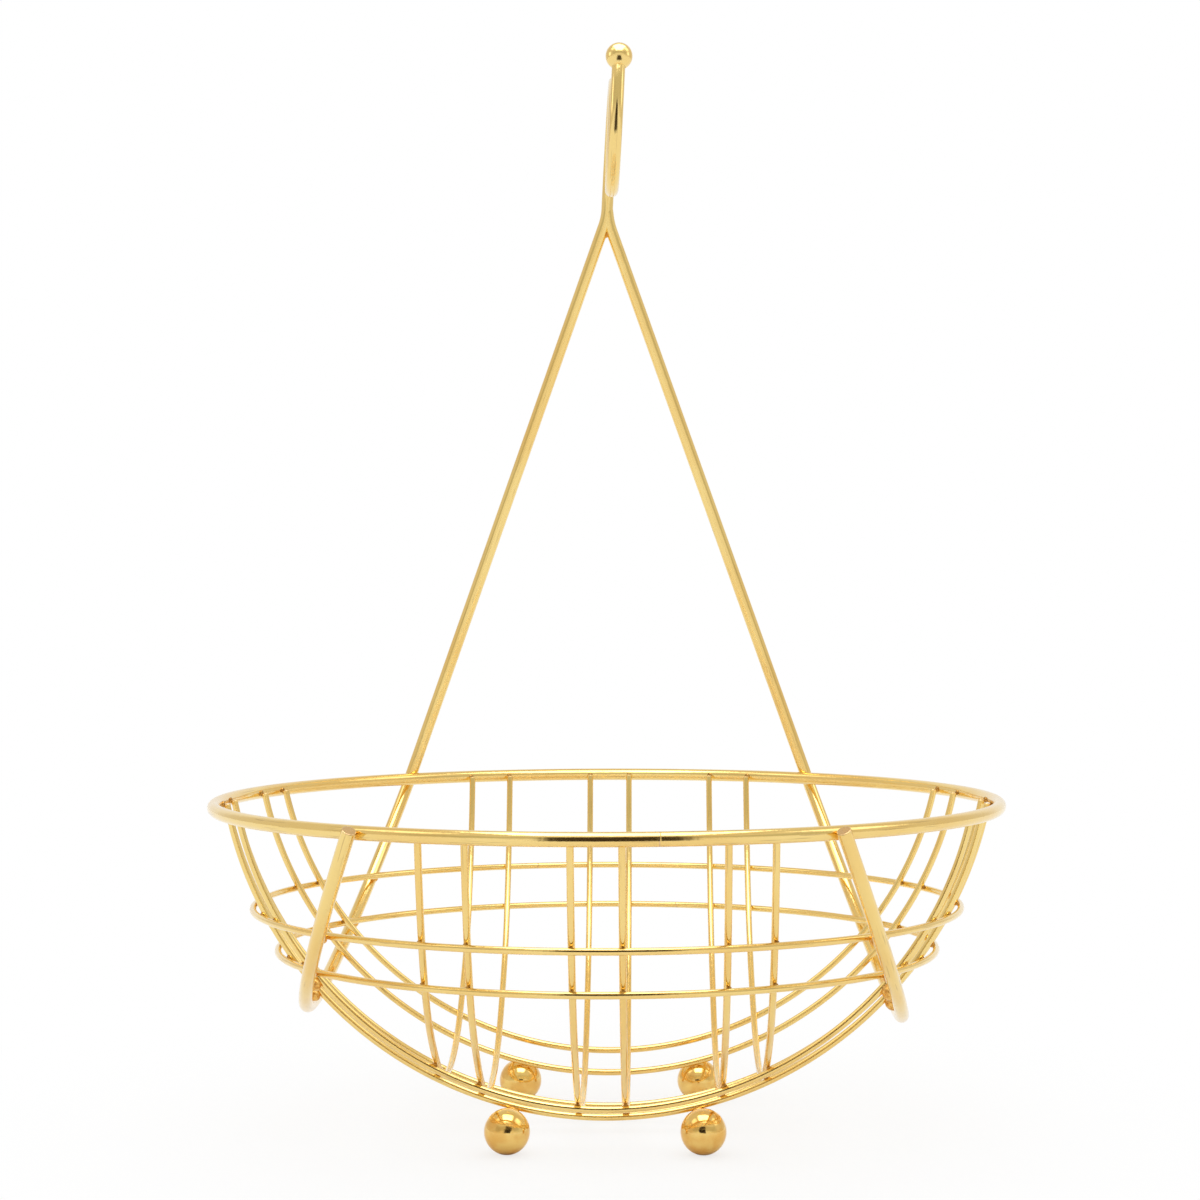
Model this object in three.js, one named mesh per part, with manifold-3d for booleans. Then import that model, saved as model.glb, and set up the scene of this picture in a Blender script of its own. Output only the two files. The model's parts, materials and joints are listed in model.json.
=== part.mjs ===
// Wire fruit basket with a banana hanger.
// Millimetres, +Z up, the front toward -Y, the origin on the floor under the middle of the rim.
//
// The bowl is a rim of thick wire, a lattice of thin wires that follow one round dish,
// and two thin hoops outside the lattice. Two thick wires cradle the bowl from outside,
// rise behind it as legs, and meet. One of them goes on as the hook.
// Touching wires keep the narrow gap that the brazing metal fills.

import * as THREE from "three";
import * as BufferGeometryUtils from "three/addons/utils/BufferGeometryUtils.js";
import Module from "manifold-3d";

// Stock
const thickWire = 4.76;            // diameter of the rim, the cradles, the legs and the hook
const thinWire = 2.38;             // diameter of the lattice wires and the hoops
const footBall = 15.88;            // diameter of a foot
const tipBall = 9.53;              // diameter of the ball on the hook's end
const brazeGap = 0.3;              // between two wires that are brazed together

// Bowl, with depths measured down from the rim's plane
const rimRadius = 140;             // to the middle of the rim wire
const bowlDepth = 111.5;           // to the middle of the lowest crosswise wires
const upperHoopDepth = 36.2;
const lowerHoopDepth = 51.2;
const pairOffsets = [8, 41, 56];   // of the lattice wires from their set's middle, on each side
const lengthwiseShift = -1;        // of the lengthwise set's middle, to the right of the bowl's

// Feet, each brazed under an inner side wire
const footSpacing = 63.5;          // between the two braze points of a left and right foot
const footTurn = 32;               // degrees that a foot sits outward of straight below its wire
const footFlat = 1.5;              // radius of the small flat that the foot stands on

// Hanger, with heights measured up from the rim's plane
const apexHeight = 228.6;          // where the two legs' centrelines meet
const legSpread = 162;             // between the two legs at the rim
const hangerShift = -1.3;          // of the hanger's middle, to the right of the bowl's
const cradleToe = 0.8;             // degrees that each cradle turns inward toward the front
const legBend = 10;                // radius of the bend from a leg into its cradle
const legBendDepth = 2.5;          // of that bend's corner below the rim's plane
const leftStandoff = 0.3;          // gap from the left cradle to the bowl
const rightStandoff = 1.4;         // gap from the right cradle to the bowl
const frontEndRise = 1.2;          // of the cradles' cut front ends above the rim's plane

// Hook
const stemBend = 25;               // radius of the bend from the left leg into the stem
const stemRise = 5;                // from the legs' meeting point up to the start of the arch
const archRadius = 41;             // of the arch that carries the hook forward
const hookRadius = 25;             // of the open loop that the fruit hangs on
const hookReach = 120;             // from the stem forward to the middle of the loop
const hookRise = 17.2;             // from the legs' meeting point up to the middle of the loop
const endRadius = 55;              // of the hook's front end, which bends more gently than the loop
const endLean = 13.6;              // degrees that the front end leans back where it meets the ball
const hookLean = 2.9;              // degrees that the hook leans to the right
const hookYaw = 2;                 // degrees that the hook turns to the right
const tipSocket = 2.9;             // depth of the ball's socket for the wire's straight end

// Facets
const thickSides = 12;
const thinSides = 8;
const rimSteps = 80;
const hoopSteps = 72;
const latticeSteps = 26;
const chordError = 0.08;           // between a bend and the chords that stand for it
const ballSides = 16;
const ballRings = 10;

const { cos, sin, sqrt, hypot, atan2, sign, PI } = Math;
const radians = (degrees) => THREE.MathUtils.degToRad(degrees);
const vector = (x, y, z) => new THREE.Vector3(x, y, z);

const wasm = await Module();
wasm.setup();

// A wire's centreline as a row of stations, each with its point and its direction.
class WirePath extends THREE.Curve {
  constructor(stations) {
    super();
    this.stations = stations;
  }

  get steps() {
    return this.stations.length - 1;
  }

  getPoint(t) {
    return this.stations[Math.round(t * this.steps)].point.clone();
  }

  getTangentAt(t) {
    return this.stations[Math.round(t * this.steps)].direction.clone();
  }

  getSpacedPoints() {
    return this.stations.map((station) => station.point.clone());
  }
}

function disc(diameter, sides) {
  const corners = [];
  for (let i = 0; i < sides; i++) {
    const turn = (2 * PI * (i + 0.5)) / sides;
    corners.push(new THREE.Vector2(cos(turn), sin(turn)).multiplyScalar(diameter / 2));
  }
  return new THREE.Shape(corners);
}

function wireGeometry(stations, diameter, sides) {
  const path = new WirePath(stations);
  return new THREE.ExtrudeGeometry(disc(diameter, sides), { steps: path.steps, extrudePath: path });
}

function station(point, direction) {
  return { point, direction: direction.clone().normalize() };
}

// Stations along an arc: centre + radius * (cos a * across + sin a * along), from a0 to a1.
function arc(centre, across, along, radius, a0, a1) {
  const step = 2 * Math.acos(1 - chordError / radius);
  const steps = Math.max(2, Math.ceil(Math.abs(a1 - a0) / step));
  const stations = [];
  for (let i = 0; i <= steps; i++) {
    const a = a0 + ((a1 - a0) * i) / steps;
    const out = across.clone().multiplyScalar(cos(a)).addScaledVector(along, sin(a));
    const onward = across.clone().multiplyScalar(-sin(a)).addScaledVector(along, cos(a));
    stations.push(station(centre.clone().addScaledVector(out, radius), onward.multiplyScalar(sign(a1 - a0))));
  }
  return stations;
}

// The bend of a wire that runs in along one direction and out along another through a corner.
function bend(corner, inward, outward, radius) {
  const turn = inward.angleTo(outward);
  const axis = inward.clone().cross(outward).normalize();
  const toCentre = axis.clone().cross(inward).normalize();
  const start = corner.clone().addScaledVector(inward, -radius * Math.tan(turn / 2));
  const centre = start.addScaledVector(toCentre, radius);
  return arc(centre, toCentre.clone().negate(), inward, radius, 0, turn);
}

// The value between low and high at which a rising measure reaches what is wanted.
function settle(low, high, wanted, measure) {
  for (let i = 0; i < 40; i++) {
    const middle = (low + high) / 2;
    if (measure(middle) < wanted) {
      low = middle;
    } else {
      high = middle;
    }
  }
  return (low + high) / 2;
}

// Distance from a point to the centreline of a level ring round the Z axis.
function ringDistance(point, radius, height) {
  return hypot(hypot(point.x, point.y) - radius, point.z - height);
}

// The dish, in a frame whose height is zero in the rim's plane
const thinPitch = thinWire + brazeGap;
const seatRadius = rimRadius - thickWire / 2 - thinPitch + thinWire / 2;
const dishRadius = (seatRadius ** 2 + bowlDepth ** 2) / (2 * bowlDepth);
const dishCentre = dishRadius - bowlDepth;
const hoopRadius = (depth) => sqrt((dishRadius + thinPitch) ** 2 - (depth + dishCentre) ** 2);

// Crosswise wires lie on the dish. Lengthwise wires lie one wire inside it where the two
// sets cross, and come out to it before they reach the hoops.
const crossingRadius = hypot(pairOffsets.at(-1), pairOffsets.at(-1));
const joinRadius = hoopRadius(lowerHoopDepth) - thinPitch;

function dishHeight(x, y, inset) {
  const lift = 1 - THREE.MathUtils.smoothstep(hypot(x, y), crossingRadius, joinRadius);
  return dishCentre - sqrt((dishRadius - inset * lift) ** 2 - x ** 2 - y ** 2);
}

// A lattice wire at one offset from the middle, along X when crosswise, along Y otherwise.
function latticeStations(offset, crosswise) {
  const inset = crosswise ? 0 : thinPitch;
  const pointAt = (run) => (crosswise
    ? vector(run, offset, dishHeight(run, offset, inset))
    : vector(offset, run, dishHeight(offset, run, inset)));
  const reach = sqrt(seatRadius ** 2 - offset ** 2);
  const reachAngle = Math.asin(reach / dishRadius);
  const stations = [];
  for (let i = 0; i <= latticeSteps; i++) {
    const run = dishRadius * sin(reachAngle * ((2 * i) / latticeSteps - 1));
    const behind = pointAt(Math.max(run - 0.01, -reach));
    const ahead = pointAt(Math.min(run + 0.01, reach));
    stations.push(station(pointAt(run), ahead.sub(behind)));
  }
  return stations;
}

// Feet
function footCentre(side, end) {
  const y = end * pairOffsets[1];
  const x = (side * footSpacing) / 2;
  const weld = vector(x, y, dishHeight(x, y, 0));
  const fall = sqrt(dishRadius ** 2 - y ** 2);
  const below = vector(x, 0, weld.z - dishCentre).divideScalar(fall);
  const outward = vector(0, end, 0);
  const away = below.multiplyScalar(cos(radians(footTurn))).addScaledVector(outward, sin(radians(footTurn)));
  return weld.addScaledVector(away, (footBall + thinWire) / 2 + brazeGap);
}

const footDrop = sqrt((footBall / 2) ** 2 - footFlat ** 2);
const rimHeight = footDrop - footCentre(1, 1).z;

// A ball turned about +Z, with a flat of the given radius at its foot.
function footGeometry() {
  const start = -Math.acos(footFlat / (footBall / 2));
  const profile = [new THREE.Vector2(0, -footDrop)];
  for (let i = 0; i < ballRings; i++) {
    const rise = start + ((PI / 2 - start) * i) / ballRings;
    profile.push(new THREE.Vector2(cos(rise), sin(rise)).multiplyScalar(footBall / 2));
  }
  profile.push(new THREE.Vector2(0, footBall / 2));
  return new THREE.LatheGeometry(profile, ballSides).rotateX(PI / 2);
}

// Legs and cradles. Side is -1 on the left and 1 on the right.
const legSlope = atan2(legSpread / 2, apexHeight);

function legPoint(side, y, down) {
  const out = legSpread / 2 + sin(legSlope) * down;
  return vector(hangerShift + side * out, y, -cos(legSlope) * down);
}

// Where a leg passes the rim's plane, so far behind the middle that it just clears the rim.
function legSeat(side) {
  const heights = Array.from({ length: 41 }, (unused, i) => (i - 20) / 4);
  const behind = settle(0, 2 * rimRadius, thickWire + brazeGap, (y) => {
    const inside = hypot(legPoint(side, y, 0).x, y) < rimRadius;
    return inside ? 0 : Math.min(...heights.map((down) => ringDistance(legPoint(side, y, down), rimRadius, 0)));
  });
  return legPoint(side, behind, 0);
}

const seats = { [-1]: legSeat(-1), [1]: legSeat(1) };
const apex = vector(hangerShift, (seats[-1].y + seats[1].y) / 2, apexHeight);

// The cradle's plane holds the leg and, nearly level, the way to the front.
function cradleFrame(side) {
  const seat = seats[side].clone();
  const down = seat.clone().sub(apex).normalize();
  const forward = vector(-side * sin(radians(cradleToe)), -cos(radians(cradleToe)), 0);
  forward.addScaledVector(down, -forward.dot(down)).normalize();
  return { seat, forward, down };
}

// The cradle's round runs from the leg's bend to its front end, a level span away.
// Both are measured in its plane, forward and down from the leg's seat.
function cradleRound(span, radius) {
  const halfChord = hypot(span, legBendDepth) / 2;
  const rise = sqrt(radius ** 2 - halfChord ** 2);
  return {
    radius,
    forward: span / 2 - (rise * legBendDepth) / (2 * halfChord),
    down: legBendDepth / 2 - (rise * span) / (2 * halfChord),
  };
}

function roundCentre(side, round) {
  const { seat, forward, down } = cradleFrame(side);
  return seat.addScaledVector(forward, round.forward).addScaledVector(down, round.down);
}

function roundStations(side, round, startAngle, endAngle) {
  const { forward, down } = cradleFrame(side);
  return arc(roundCentre(side, round), forward, down, round.radius, startAngle, endAngle);
}

// The angle on the round at which the wire is cut, just above the rim's plane.
function frontAngle(side, round) {
  const { forward, down } = cradleFrame(side);
  const centre = roundCentre(side, round);
  return settle(0, PI / 2, -frontEndRise, (angle) => (
    -centre.z - round.radius * (cos(angle) * forward.z + sin(angle) * down.z)));
}

// The stations' points with four more on each chord between them.
function chordPoints(stations) {
  return stations.slice(1).flatMap(({ point }, i) => [0, 0.2, 0.4, 0.6, 0.8, 1].map((share) => (
    stations[i].point.clone().lerp(point, share))));
}

function rimGap(side, span, radius) {
  const round = cradleRound(span, radius);
  const points = chordPoints(roundStations(side, round, PI / 2, frontAngle(side, round)));
  return Math.min(...points.map((point) => ringDistance(point, rimRadius, 0))) - thickWire;
}

function bowlGap(side, round) {
  const end = frontAngle(side, round);
  const points = chordPoints(roundStations(side, round, PI - end, end));
  const gaps = points.flatMap((point) => [
    ringDistance(point, hoopRadius(upperHoopDepth), -upperHoopDepth),
    ringDistance(point, hoopRadius(lowerHoopDepth), -lowerHoopDepth),
    point.distanceTo(vector(0, 0, dishCentre)) - dishRadius,
  ]);
  return Math.min(...gaps) - (thickWire + thinWire) / 2;
}

// The round that rests on the rim at the front and passes the bowl at the given gap.
function settledRound(side, standoff) {
  const behind = seats[side].y;
  const widest = 2 * hypot(behind, rimRadius);
  const spanFor = (radius) => settle(1.6 * behind, widest, brazeGap, (span) => rimGap(side, span, radius));
  const tightness = settle(0.3, 0.99, standoff, (share) => {
    const radius = behind / share;
    return bowlGap(side, cradleRound(spanFor(radius), radius));
  });
  return cradleRound(spanFor(behind / tightness), behind / tightness);
}

// From the meeting point down the leg, round the bend and along the cradle to its front end.
function cradleStations(side, standoff) {
  const round = settledRound(side, standoff);
  const { seat, forward, down } = cradleFrame(side);
  const bendDown = round.down + sqrt((round.radius - legBend) ** 2 - (legBend - round.forward) ** 2);
  const meetAngle = atan2(bendDown - round.down, legBend - round.forward);
  const bendCentre = seat.clone().addScaledVector(forward, legBend).addScaledVector(down, bendDown);
  return [
    ...arc(bendCentre, forward, down, legBend, PI, meetAngle),
    ...roundStations(side, round, meetAngle, frontAngle(side, round)).slice(1),
  ];
}

// Hook, in the frame of the rim's plane
const hookForward = vector(sin(radians(hookYaw)), -cos(radians(hookYaw)), 0);
const hookUp = vector(sin(radians(hookLean)), 0, cos(radians(hookLean)));
hookUp.addScaledVector(hookForward, -hookUp.dot(hookForward)).normalize();

// From the ball down round the loop, back up over the arch and down the stem.
// Places are measured forward and up from the legs' meeting point.
function hookStations() {
  const at = (reach, rise) => apex.clone().addScaledVector(hookForward, reach).addScaledVector(hookUp, rise);
  const between = hypot(hookReach - archRadius, hookRise - stemRise);
  const bearing = atan2(hookRise - stemRise, hookReach - archRadius);
  const crossing = bearing + Math.acos((archRadius + hookRadius) / between);
  const front = hookReach + hookRadius;
  const end = arc(at(front - endRadius, hookRise), hookForward, hookUp, endRadius, radians(endLean), 0);
  const loop = arc(at(hookReach, hookRise), hookForward, hookUp, hookRadius, 0, -PI + crossing);
  const arch = arc(at(archRadius, stemRise), hookForward, hookUp, archRadius, crossing, PI);
  const tip = end[0].point.clone().addScaledVector(end[0].direction, -1.5 * tipSocket);
  return [station(tip, end[0].direction), ...end, ...loop.slice(1), ...arch];
}

function hookWireStations() {
  const stemDown = hookUp.clone().negate();
  const legDown = cradleFrame(-1).down;
  return [
    ...hookStations(),
    ...bend(apex, stemDown, legDown, stemBend),
    ...cradleStations(-1, leftStandoff),
  ];
}

// The right wire stops inside the left one's outline and is coped to fit round it.
function braceWireStations() {
  const { down } = cradleFrame(1);
  const top = apex.clone().addScaledVector(down, thickWire / 4);
  return [station(top, down), ...cradleStations(1, rightStandoff)];
}

function toManifold(geometry) {
  const bare = geometry.clone();
  bare.deleteAttribute("normal");
  bare.deleteAttribute("uv");
  const merged = BufferGeometryUtils.mergeVertices(bare, 1e-4);
  return new wasm.Manifold(new wasm.Mesh({
    numProp: 3,
    vertProperties: new Float32Array(merged.attributes.position.array),
    triVerts: new Uint32Array(merged.index.array),
  }));
}

function toGeometry(solid) {
  const mesh = solid.getMesh();
  const geometry = new THREE.BufferGeometry();
  geometry.setAttribute("position", new THREE.BufferAttribute(mesh.vertProperties, 3));
  geometry.setIndex(new THREE.BufferAttribute(mesh.triVerts, 1));
  geometry.computeVertexNormals();
  return geometry;
}

function braceGeometry(hookWire) {
  const brace = toManifold(wireGeometry(braceWireStations(), thickWire, thickSides));
  const socket = toManifold(wireGeometry(hookWire, thickWire + 2 * brazeGap, thickSides));
  return toGeometry(brace.subtract(socket));
}

// The ball on the hook's end, turned about +Z, with a blind socket below.
function tipGeometry() {
  const bore = thickWire / 2 + brazeGap;
  const mouth = -sqrt((tipBall / 2) ** 2 - bore ** 2);
  const start = Math.asin(mouth / (tipBall / 2));
  const profile = [new THREE.Vector2(0, mouth + tipSocket), new THREE.Vector2(bore, mouth + tipSocket)];
  for (let i = 0; i < ballRings; i++) {
    const rise = start + ((PI / 2 - start) * i) / ballRings;
    profile.push(new THREE.Vector2(cos(rise), sin(rise)).multiplyScalar(tipBall / 2));
  }
  profile.push(new THREE.Vector2(0, tipBall / 2));
  return new THREE.LatheGeometry(profile, ballSides).rotateX(PI / 2);
}

const goldPlate = () => new THREE.MeshStandardMaterial({ color: 0xe6bd6a, roughness: 0.18, metalness: 1 });

function piece(name, geometry) {
  const mesh = new THREE.Mesh(geometry, goldPlate());
  mesh.name = name;
  return mesh;
}

function ring(name, radius, diameter, depth, sides, steps) {
  const mesh = piece(name, new THREE.TorusGeometry(radius, diameter / 2, sides, steps));
  mesh.position.z = -depth;
  return mesh;
}

function makeBowl() {
  const bowl = new THREE.Group();
  bowl.add(ring("rim", rimRadius, thickWire, 0, thickSides, rimSteps));
  bowl.add(ring("upper_hoop", hoopRadius(upperHoopDepth), thinWire, upperHoopDepth, thinSides, hoopSteps));
  bowl.add(ring("lower_hoop", hoopRadius(lowerHoopDepth), thinWire, lowerHoopDepth, thinSides, hoopSteps));
  const offsets = [...pairOffsets.map((offset) => -offset).reverse(), ...pairOffsets];
  offsets.forEach((offset, i) => {
    const lengthwise = latticeStations(offset + lengthwiseShift, false);
    const crosswise = latticeStations(offset, true);
    bowl.add(piece(`long_wire_${i + 1}`, wireGeometry(lengthwise, thinWire, thinSides)));
    bowl.add(piece(`cross_wire_${i + 1}`, wireGeometry(crosswise, thinWire, thinSides)));
  });
  return bowl;
}

function makeFeet() {
  const feet = new THREE.Group();
  for (const [end, endName] of [[-1, "front"], [1, "rear"]]) {
    for (const [side, sideName] of [[-1, "left"], [1, "right"]]) {
      const foot = piece(`foot_${endName}_${sideName}`, footGeometry());
      foot.position.copy(footCentre(side, end));
      feet.add(foot);
    }
  }
  return feet;
}

function makeHanger() {
  const hanger = new THREE.Group();
  const hookWire = hookWireStations();
  hanger.add(piece("hook_wire", wireGeometry(hookWire, thickWire, thickSides)));
  hanger.add(piece("brace_wire", braceGeometry(hookWire)));
  const tip = piece("hook_ball", tipGeometry());
  const wireEnd = hookWire[0];
  const outward = wireEnd.direction.clone().negate();
  const bore = thickWire / 2 + brazeGap;
  const socketEnd = tipSocket - sqrt((tipBall / 2) ** 2 - bore ** 2);
  tip.position.copy(wireEnd.point).addScaledVector(outward, brazeGap - socketEnd);
  tip.quaternion.setFromUnitVectors(vector(0, 0, 1), outward);
  hanger.add(tip);
  return hanger;
}

const basket = new THREE.Group();
basket.add(makeBowl(), makeFeet(), makeHanger());
basket.position.z = rimHeight;

export default basket;
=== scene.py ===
# %% [markdown]
# # A gold wire fruit basket with a banana hanger
# The basket is bent from two thicknesses of polished, gold-plated wire and brazed wherever two wires touch.
# Its solids are already made. This lesson dresses them: every wire gets a round, smooth skin,
# every joint its spot of brazing metal, and the whole basket a plated finish, a studio and a camera.

import json
from math import cos, pi, radians, sin

import bmesh
import bpy
import numpy as np
from mathutils import Matrix, Vector
from mathutils.kdtree import KDTree

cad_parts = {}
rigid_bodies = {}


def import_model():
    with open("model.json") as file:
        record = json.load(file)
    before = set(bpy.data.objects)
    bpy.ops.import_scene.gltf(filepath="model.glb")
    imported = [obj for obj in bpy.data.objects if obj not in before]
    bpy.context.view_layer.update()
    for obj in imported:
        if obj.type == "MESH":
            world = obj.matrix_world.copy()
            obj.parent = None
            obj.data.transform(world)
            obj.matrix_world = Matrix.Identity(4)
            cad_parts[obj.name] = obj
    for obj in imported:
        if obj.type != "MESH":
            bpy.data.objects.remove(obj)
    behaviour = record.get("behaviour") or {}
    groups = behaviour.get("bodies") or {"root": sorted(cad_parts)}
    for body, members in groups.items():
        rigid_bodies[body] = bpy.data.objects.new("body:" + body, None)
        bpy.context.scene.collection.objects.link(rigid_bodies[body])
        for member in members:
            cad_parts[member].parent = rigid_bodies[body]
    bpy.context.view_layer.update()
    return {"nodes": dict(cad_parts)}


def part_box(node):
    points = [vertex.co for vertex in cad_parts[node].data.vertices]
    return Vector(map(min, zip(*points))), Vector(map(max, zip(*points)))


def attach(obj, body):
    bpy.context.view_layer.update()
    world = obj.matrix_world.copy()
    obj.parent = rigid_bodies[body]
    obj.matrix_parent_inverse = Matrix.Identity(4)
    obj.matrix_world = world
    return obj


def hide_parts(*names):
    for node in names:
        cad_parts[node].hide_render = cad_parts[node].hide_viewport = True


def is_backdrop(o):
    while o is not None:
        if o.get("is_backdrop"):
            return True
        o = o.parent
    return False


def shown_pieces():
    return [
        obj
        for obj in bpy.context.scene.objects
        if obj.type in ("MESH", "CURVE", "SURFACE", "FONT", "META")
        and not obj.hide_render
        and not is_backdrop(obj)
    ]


for leftover in list(bpy.data.objects):
    bpy.data.objects.remove(leftover)
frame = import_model()

# %% [markdown]
# ## The two wires and the balls
# A wire basket starts with its stock. The rim and the hanger are thick wire, the lattice and its
# two hoops are thin wire. Every size is read from the solids, so the skin can't drift from them:
# a hoop lies flat, so its box is as high as its wire is thick.

# %% Measure the stock
MM = 0.001


def height_of(node):
    low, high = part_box(node)
    return high.z - low.z


thick_wire = height_of("rim")
thin_wire = height_of("upper_hoop")
print("thick wire", round(thick_wire / MM, 2), "mm, thin wire", round(thin_wire / MM, 2), "mm")

# %% [markdown]
# ## Where each wire runs
# The solids are wires with few sides. Each one is a row of rings of corners, from one cut end to the other.
# One could type every bend again, but the rings already hold it: the middle of a ring is a point on
# the wire's centre line, and the ring's flat plane says which way the wire heads there.
# Starting from a cut end, the next ring is whatever the last one is joined to by edges.

# %% Read the rings of a wire back from its solid
THICK_SIDES = 12
THIN_SIDES = 8


def middle_of(corners):
    return sum((c.co for c in corners), Vector()) / len(corners)


def flat_patches(work):
    """Groups of faces that lie in one plane and touch."""
    left = set(work.faces)
    while left:
        first = left.pop()
        patch, todo = {first}, [first]
        while todo:
            for edge in todo.pop().edges:
                for other in edge.link_faces:
                    if other not in patch and other.normal.dot(first.normal) > 0.99999:
                        patch.add(other)
                        todo.append(other)
        left -= patch
        yield patch


def cut_ends(work, sides):
    """Flat patches with as many corners as the wire has sides."""
    ends = []
    for patch in flat_patches(work):
        corners = {c for face in patch for c in face.verts}
        if len(corners) == sides and len(patch) == sides - 2:
            ends.append(corners)
    return sorted(ends, key=lambda end: middle_of(end).y)


def rings_from(end, sides):
    """The rings from a cut end on, up to the first that isn't whole."""
    rings, ring, seen = [], set(end), set(end)
    while len(ring) == sides:
        rings.append(ring)
        ring = {edge.other_vert(c) for c in ring for edge in c.link_edges} - seen
        seen |= ring
    return rings


def ring_plane(ring, middle):
    """The direction square to a ring."""
    spokes = np.array([(c.co - middle)[:] for c in ring])
    return Vector(np.linalg.svd(spokes)[2][2])


def read_stations(node, sides):
    """Middle and heading of every ring of a wire, in order."""
    work = bmesh.new()
    work.from_mesh(frame["nodes"][node].data)
    bmesh.ops.remove_doubles(work, verts=work.verts, dist=0.002 * MM)
    work.normal_update()
    rings = max((rings_from(end, sides) for end in cut_ends(work, sides)), key=len)
    middles = [middle_of(ring) for ring in rings]
    stations = []
    for i, ring in enumerate(rings):
        onward = middles[min(i + 1, len(rings) - 1)] - middles[max(i - 1, 0)]
        heading = ring_plane(ring, middles[i])
        stations.append((middles[i], heading if heading.dot(onward) > 0 else -heading))
    work.free()
    return stations


HANGER_WIRES = ["hook_wire", "brace_wire"]
LONG_WIRES = [f"long_wire_{i}" for i in range(1, 7)]
CROSS_WIRES = [f"cross_wire_{i}" for i in range(1, 7)]
stations = {node: read_stations(node, THICK_SIDES) for node in HANGER_WIRES}
stations.update({node: read_stations(node, THIN_SIDES) for node in LONG_WIRES + CROSS_WIRES})
print("rings read:", {node: len(found) for node, found in stations.items()})

# %% [markdown]
# ## The rim and the hoops
# These are plain rings, each bent from one wire whose two ends are welded together.
# Their boxes give the radius and the height, and a dozen stations round the circle are enough for a
# smooth curve. Each ring starts where its weld is.

# %% Stations round the rim and the hoops
RING_STATIONS = 12
RINGS = {"rim": thick_wire, "upper_hoop": thin_wire, "lower_hoop": thin_wire}
WELD_ANGLE = {"rim": radians(-82.5), "upper_hoop": radians(104), "lower_hoop": radians(77)}


def ring_stations(node, wire):
    low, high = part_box(node)
    middle = (low + high) / 2
    radius = (high.x - low.x - wire) / 2
    found = []
    for i in range(RING_STATIONS):
        a = WELD_ANGLE[node] + i * 2 * pi / RING_STATIONS
        found.append((middle + radius * Vector((cos(a), sin(a), 0)), Vector((-sin(a), cos(a), 0))))
    return found


for node, wire in RINGS.items():
    stations[node] = ring_stations(node, wire)
    print(node, "weld at", [round(x / MM, 1) for x in stations[node][0][0]])

# %% [markdown]
# ## The brace wire's fitted end
# The right leg's end is filed to sit round the left leg, so its last rings aren't whole and weren't read.
# On the real hanger the corner there is full of brazing metal, and the leg's outside runs smoothly
# on into the stem's. So the leg runs on straight until it is nearly there, then bends up beside the
# stem, gets narrower and dives into it. The places of the bend are given in wire thicknesses.

# %% Bend the brace wire's end into the stem
RIGHT, UP = Vector((1, 0, 0)), Vector((0, 0, 1))
BEND_STARTS, BEND_ENDS, DIVE_ENDS = 0.95, 0.65, 0.1
RIGHT_AT_BEND, RIGHT_AT_DIVE, LEAN_IN = 0.08, 0.05, 0.12
last, heading = stations["brace_wire"][-1]
solid_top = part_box("brace_wire")[1].z
meeting = last + heading * (solid_top - last.z - 0.25 * thick_wire) / heading.z
above = meeting + Vector((0, 0, 1.4 * thick_wire))
stem, stem_heading = min(stations["hook_wire"], key=lambda s: (s[0] - above).length)
END_WIDTHS = {"brace_wire": (0.97, 0.8)}
bend_end = stem - stem_heading * BEND_ENDS * thick_wire + RIGHT * RIGHT_AT_BEND * thick_wire
stations["brace_wire"] += [
    (meeting - heading * BEND_STARTS * thick_wire, heading),
    (bend_end, (stem_heading - RIGHT * LEAN_IN).normalized()),
    (stem + stem_heading * DIVE_ENDS * thick_wire + RIGHT * RIGHT_AT_DIVE * thick_wire, stem_heading),
]
print("the brace wire ends inside the stem, at height", round(stations["brace_wire"][-1][0].z / MM, 1), "mm")

# %% [markdown]
# ## A smooth line through the stations
# A straight run from station to station would show corners in the reflections. A Bezier curve
# doesn't: each station gets two handles along its heading, a third of the way to its neighbours,
# which is what follows an arc most closely.
# The same line is also needed as plain points, to find where two wires touch.

# %% Bezier lines, and fine points along them
def neighbours(found, i, closed):
    count = len(found)
    before = found[(i - 1) % count] if closed or i > 0 else found[i]
    after = found[(i + 1) % count] if closed or i < count - 1 else found[i]
    return before[0], after[0]


def handles(found, i, closed):
    here, heading = found[i]
    before, after = neighbours(found, i, closed)
    return here - heading * (here - before).length / 3, here + heading * (after - here).length / 3


def fine_points(node, step=0.4 * MM):
    """Points along a wire's centre line, close together."""
    found, closed = stations[node], node in RINGS
    points = []
    for i in range(len(found) if closed else len(found) - 1):
        j = (i + 1) % len(found)
        a, d = found[i][0], found[j][0]
        b, c = handles(found, i, closed)[1], handles(found, j, closed)[0]
        count = max(2, int((d - a).length / step))
        t = (np.arange(count) / count)[:, None]
        curve = (1 - t) ** 3 * np.array(a) + 3 * t * (1 - t) ** 2 * np.array(b)
        points.append(curve + 3 * t**2 * (1 - t) * np.array(c) + t**3 * np.array(d))
    if not closed:
        points.append(np.array([found[-1][0][:]]))
    return np.concatenate(points)


lines = {node: fine_points(node) for node in stations}
lengths = {n: np.linalg.norm(np.diff(p, axis=0), axis=1).sum() for n, p in lines.items()}
print("wire used:", round(sum(lengths.values()), 2), "m")

# %% [markdown]
# ## Where wires touch
# Every place where two wires touch is brazed, and each needs three things: a spot of metal, a stain
# from the torch on both wires, and a size that suits the wires. Marking some 130 places by hand is a
# chore. Instead each wire's line is searched for its nearest approaches to every other wire.
# Thin wires are brazed only where they touch. The hanger was bent by hand, so there the metal also
# fills gaps, and big lumps tie each cradle to the two front crosswise wires.

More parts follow.
